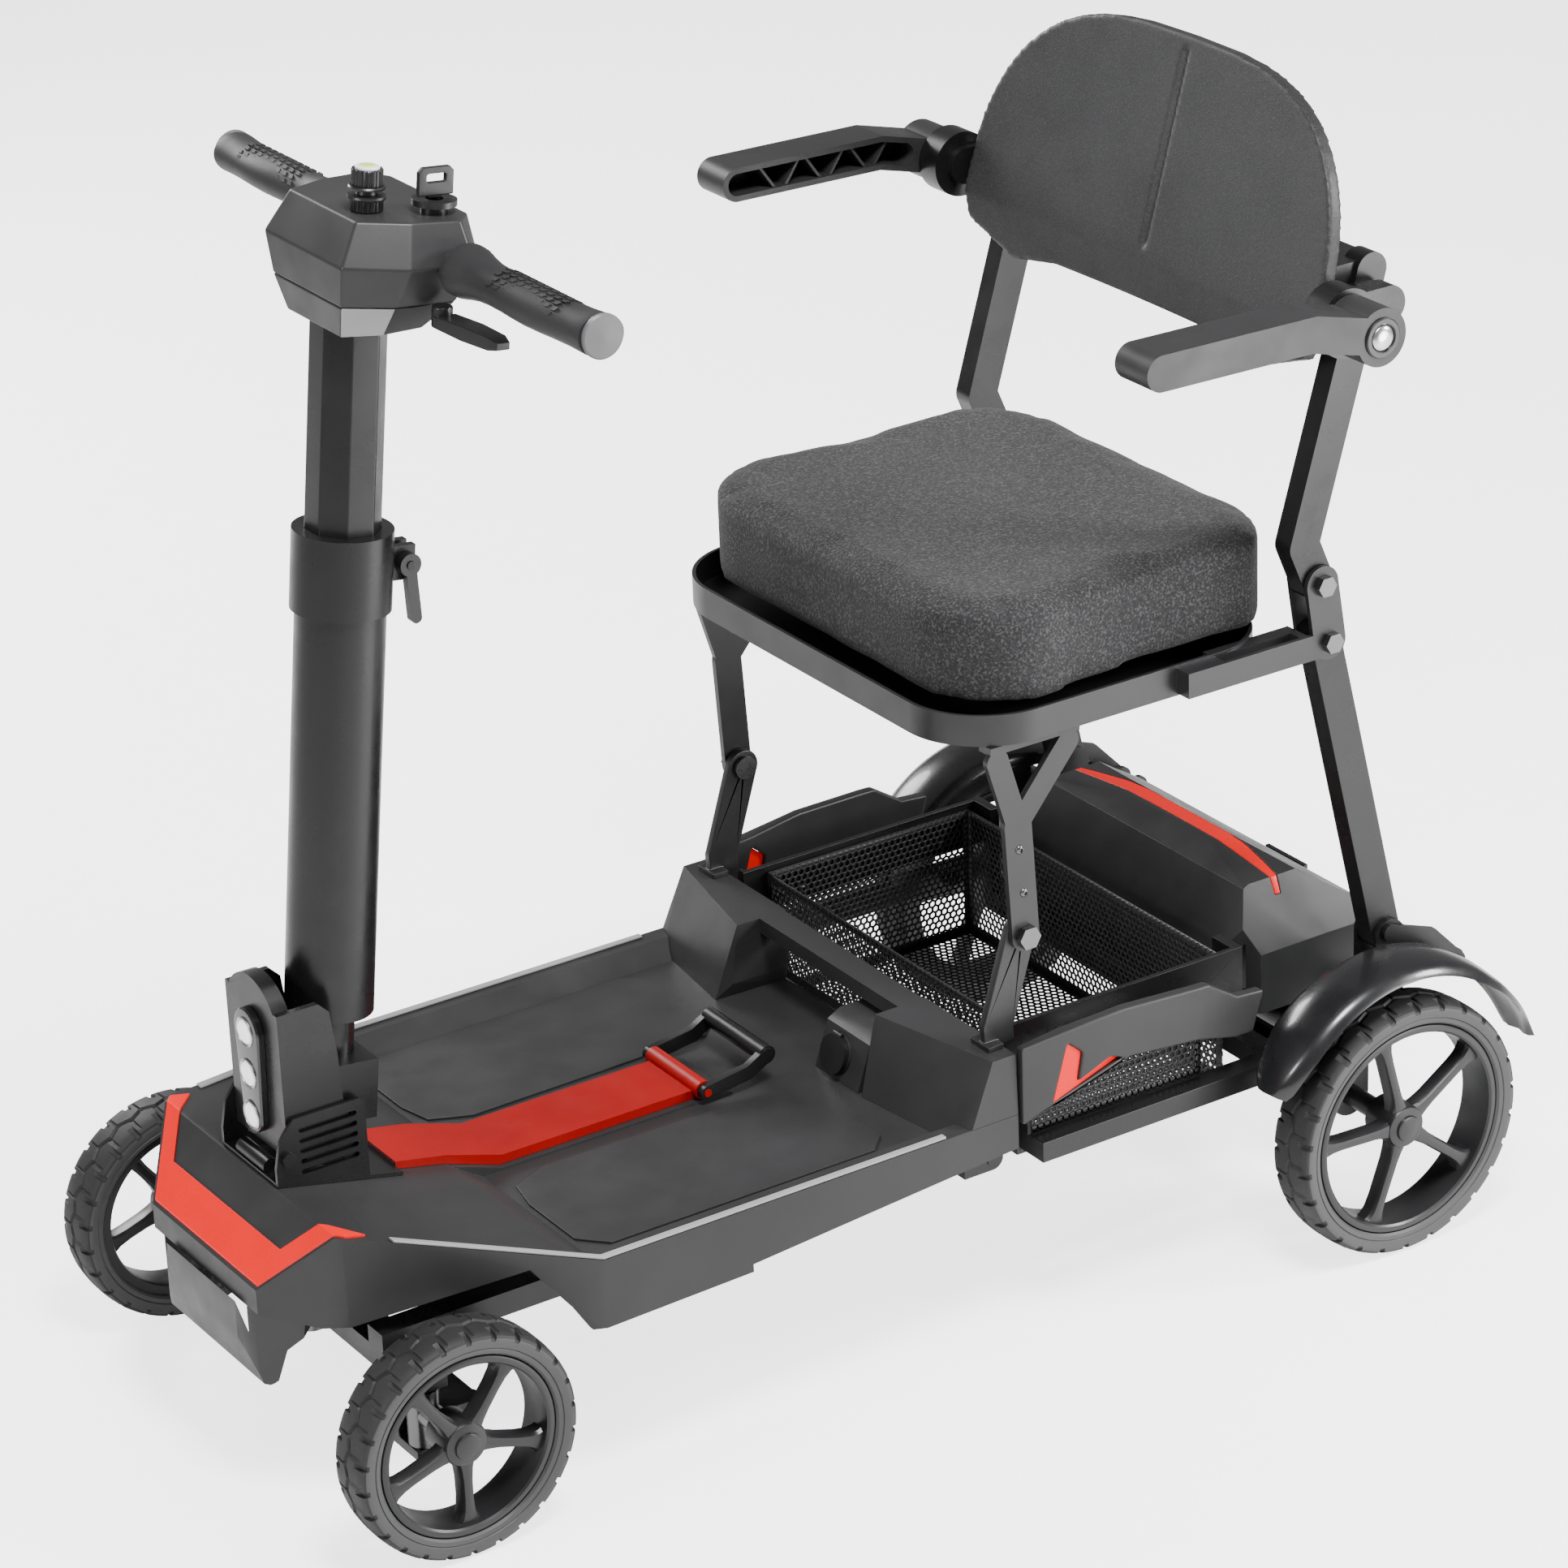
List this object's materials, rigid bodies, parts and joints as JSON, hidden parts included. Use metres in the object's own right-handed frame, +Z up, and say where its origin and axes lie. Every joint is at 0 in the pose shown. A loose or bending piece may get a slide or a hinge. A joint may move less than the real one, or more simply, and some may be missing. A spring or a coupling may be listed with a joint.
{
  "type": "mobility scooter",
  "caption": "Folding four-wheel mobility scooter with a padded seat, fold-forward backrest, lifting armrests, under-seat basket and a telescopic folding tiller.",
  "frame": {"origin": "centre of the overall length and width on the floor", "axes": "+X forward, +Y towards the rider's left, +Z up"},
  "size_m": [0.9587, 0.555, 0.9158],
  "materials": {
    "shell_plastic": "fine-textured dark grey ABS",
    "black_metal": "satin black powder coat",
    "black_plastic": "matte black moulded",
    "red_lamp": "glossy red lamp lens",
    "red_metal": "semi-gloss deep red paint",
    "trim": "light grey satin trim",
    "cushion_fabric": "charcoal fine-grain woven fabric",
    "back_fabric": "dark grey fine-textured panel",
    "mesh": "black open mesh",
    "tyre": "solid rubber",
    "grip_rubber": "textured soft grip",
    "rim_plastic": "black moulded spokes",
    "steel": "zinc-plated steel",
    "lamp_lens": "white lamp",
    "battery_case": "black battery case"
  },
  "bodies": {
    "rear_half": {"rear_frame": "black_metal", "rear_housing": "shell_plastic", "rear_lights": "red_lamp", "battery_pack": "battery_case", "rear_axle": "black_metal", "fenders": "black_plastic", "side_covers": "shell_plastic", "cargo_basket": "mesh", "hinge_pin": "steel", "leg_catches": "black_metal"},
    "leg_latch": {"leg_latch": "black_metal"},
    "front_half": {"deck_shell": "shell_plastic", "front_frame": "black_metal", "front_bumper": "black_plastic", "chevron_light": "red_lamp", "foot_mats": "shell_plastic", "edge_trim": "trim", "leg_towers": "shell_plastic", "charge_port": "shell_plastic", "front_legs": "black_metal", "tiller_base": "black_metal", "fold_strap": "red_metal", "front_axle_beam": "black_metal"},
    "charge_cover": {"charge_cover": "black_plastic"},
    "fold_handle": {"fold_handle": "black_metal"},
    "pitman_arm": {"pitman_arm": "steel"},
    "tie_rod": {"tie_rod": "steel"},
    "knuckle_left": {"knuckle_left": "steel"},
    "knuckle_right": {"knuckle_right": "steel"},
    "tiller": {"tiller_bracket": "black_metal", "headlight": "lamp_lens"},
    "column": {"lower_column": "black_metal", "column_collar": "black_metal"},
    "clamp_lever": {"clamp_lever": "black_plastic"},
    "head": {"upper_column": "black_metal", "head_shell": "shell_plastic", "head_insert": "shell_plastic", "handlebar": "steel", "grips": "grip_rubber", "key_switch": "black_plastic"},
    "speed_dial": {"speed_dial": "black_plastic"},
    "ignition_key": {"ignition_key": "steel"},
    "throttle_paddle": {"throttle_paddle": "black_plastic"},
    "seat": {"seat_pan": "black_metal", "seat_brackets": "black_metal", "seat_cushion": "cushion_fabric", "pivot_bolts": "steel"},
    "rear_legs": {"rear_legs": "black_metal"},
    "backrest": {"backrest_tubes": "black_metal", "backrest_shell": "back_fabric"},
    "armrest_left": {"armrest_left": "shell_plastic"},
    "armrest_right": {"armrest_right": "shell_plastic"},
    "rear_wheel_left": {"rear_tyre_left": "tyre", "rear_rim_left": "rim_plastic"},
    "rear_wheel_right": {"rear_tyre_right": "tyre", "rear_rim_right": "rim_plastic"},
    "front_wheel_left": {"front_tyre_left": "tyre", "front_rim_left": "rim_plastic"},
    "front_wheel_right": {"front_tyre_right": "tyre", "front_rim_right": "rim_plastic"}
  },
  "joints": [
    {"name": "frame_fold", "type": "hinge", "parent": "rear_half", "child": "front_half", "pos_m": [-0.0825, 0, 0.122], "axis": [0, 1, 0], "range_deg": [0, 50]},
    {"name": "leg_latch_turn", "type": "hinge", "parent": "rear_half", "child": "leg_latch", "pos_m": [-0.4715, 0, 0.184], "axis": [0, 1, 0], "range_deg": [-25, 0]},
    {"name": "seat_fold", "type": "hinge", "parent": "front_half", "child": "seat", "pos_m": [-0.0955, 0, 0.308], "axis": [0, 1, 0], "range_deg": [-55.69, 0]},
    {"name": "rear_leg_fold", "type": "hinge", "parent": "seat", "child": "rear_legs", "pos_m": [-0.3505, 0, 0.472], "axis": [0, 1, 0], "range_deg": [0, 40.55]},
    {"name": "backrest_fold", "type": "hinge", "parent": "seat", "child": "backrest", "pos_m": [-0.3435, 0, 0.517], "axis": [0, 1, 0], "range_deg": [0, 66]},
    {"name": "armrest_left_lift", "type": "hinge", "parent": "backrest", "child": "armrest_left", "pos_m": [-0.3385, 0.258, 0.722], "axis": [0, 1, 0], "range_deg": [-90, 0]},
    {"name": "armrest_right_lift", "type": "hinge", "parent": "backrest", "child": "armrest_right", "pos_m": [-0.3385, -0.258, 0.722], "axis": [0, 1, 0], "range_deg": [-90, 0]},
    {"name": "tiller_fold", "type": "hinge", "parent": "front_half", "child": "tiller", "pos_m": [0.3705, 0, 0.222], "axis": [0, 1, 0], "range_deg": [-36, 0]},
    {"name": "steering", "type": "hinge", "parent": "tiller", "child": "column", "pos_m": [0.3585, 0, 0.317], "axis": [-0.1115, 0, 0.9938], "range_deg": [-28, 28]},
    {"name": "column_height", "type": "slide", "parent": "column", "child": "head", "axis": [0.1115, 0, -0.9938], "range_m": [-0.04, 0.1]},
    {"name": "clamp_release", "type": "hinge", "parent": "column", "child": "clamp_lever", "pos_m": [0.27922, 0.012, 0.62911], "axis": [0, 1, 0], "range_deg": [0, 100]},
    {"name": "throttle_press", "type": "hinge", "parent": "head", "child": "throttle_paddle", "pos_m": [0.27494, 0.072, 0.81076], "axis": [-0.1115, 0, 0.9938], "range_deg": [-18, 0], "stiffness_Nm_per_rad": 0.3},
    {"name": "speed_dial_turn", "type": "hinge", "parent": "head", "child": "speed_dial", "pos_m": [0.29706, 0.022, 0.88268], "axis": [-0.1115, 0, 0.9938], "range_deg": [-135, 135]},
    {"name": "key_turn", "type": "hinge", "parent": "head", "child": "ignition_key", "pos_m": [0.25731, 0.04, 0.87822], "axis": [-0.1115, 0, 0.9938], "range_deg": [0, 80]},
    {"name": "fold_handle_lift", "type": "hinge", "parent": "front_half", "child": "fold_handle", "pos_m": [0.0815, 0, 0.1776], "axis": [0, 1, 0], "range_deg": [0, 50]},
    {"name": "charge_cover_open", "type": "hinge", "parent": "front_half", "child": "charge_cover", "pos_m": [-0.01994, 0.058, 0.20062], "axis": [0, 1, 0], "range_deg": [-100, 0]},
    {"name": "pitman_turn", "type": "hinge", "parent": "front_half", "child": "pitman_arm", "pos_m": [0.3915, 0, 0.076], "axis": [0, 0, 1], "range_deg": [-28, 28]},
    {"name": "tie_rod_shift", "type": "slide", "parent": "front_half", "child": "tie_rod", "axis": [0, -1, 0], "range_m": [-0.0136, 0.0136]},
    {"name": "knuckle_left_turn", "type": "hinge", "parent": "front_half", "child": "knuckle_left", "pos_m": [0.3915, 0.158, 0.085], "axis": [0, 0, 1], "range_deg": [-22.4, 22.4]},
    {"name": "knuckle_right_turn", "type": "hinge", "parent": "front_half", "child": "knuckle_right", "pos_m": [0.3915, -0.158, 0.085], "axis": [0, 0, 1], "range_deg": [-22.4, 22.4]},
    {"name": "rear_wheel_left_roll", "type": "hinge", "parent": "rear_half", "child": "rear_wheel_left", "pos_m": [-0.3745, 0.2575, 0.1], "axis": [0, 1, 0], "continuous": true},
    {"name": "rear_wheel_right_roll", "type": "hinge", "parent": "rear_half", "child": "rear_wheel_right", "pos_m": [-0.3745, -0.2575, 0.1], "axis": [0, 1, 0], "continuous": true},
    {"name": "front_wheel_left_roll", "type": "hinge", "parent": "knuckle_left", "child": "front_wheel_left", "pos_m": [0.3915, 0.203, 0.085], "axis": [0, 1, 0], "continuous": true},
    {"name": "front_wheel_right_roll", "type": "hinge", "parent": "knuckle_right", "child": "front_wheel_right", "pos_m": [0.3915, -0.203, 0.085], "axis": [0, 1, 0], "continuous": true}
  ],
  "couplings": [
    {"joint": "seat_fold", "follows": "frame_fold", "ratio": -1.1138},
    {"joint": "rear_leg_fold", "follows": "frame_fold", "ratio": 0.811},
    {"joint": "pitman_turn", "follows": "steering", "ratio": 1},
    {"joint": "tie_rod_shift", "follows": "steering", "m_per_rad": 0.0275},
    {"joint": "knuckle_left_turn", "follows": "steering", "ratio": 0.8},
    {"joint": "knuckle_right_turn", "follows": "steering", "ratio": 0.8}
  ]
}
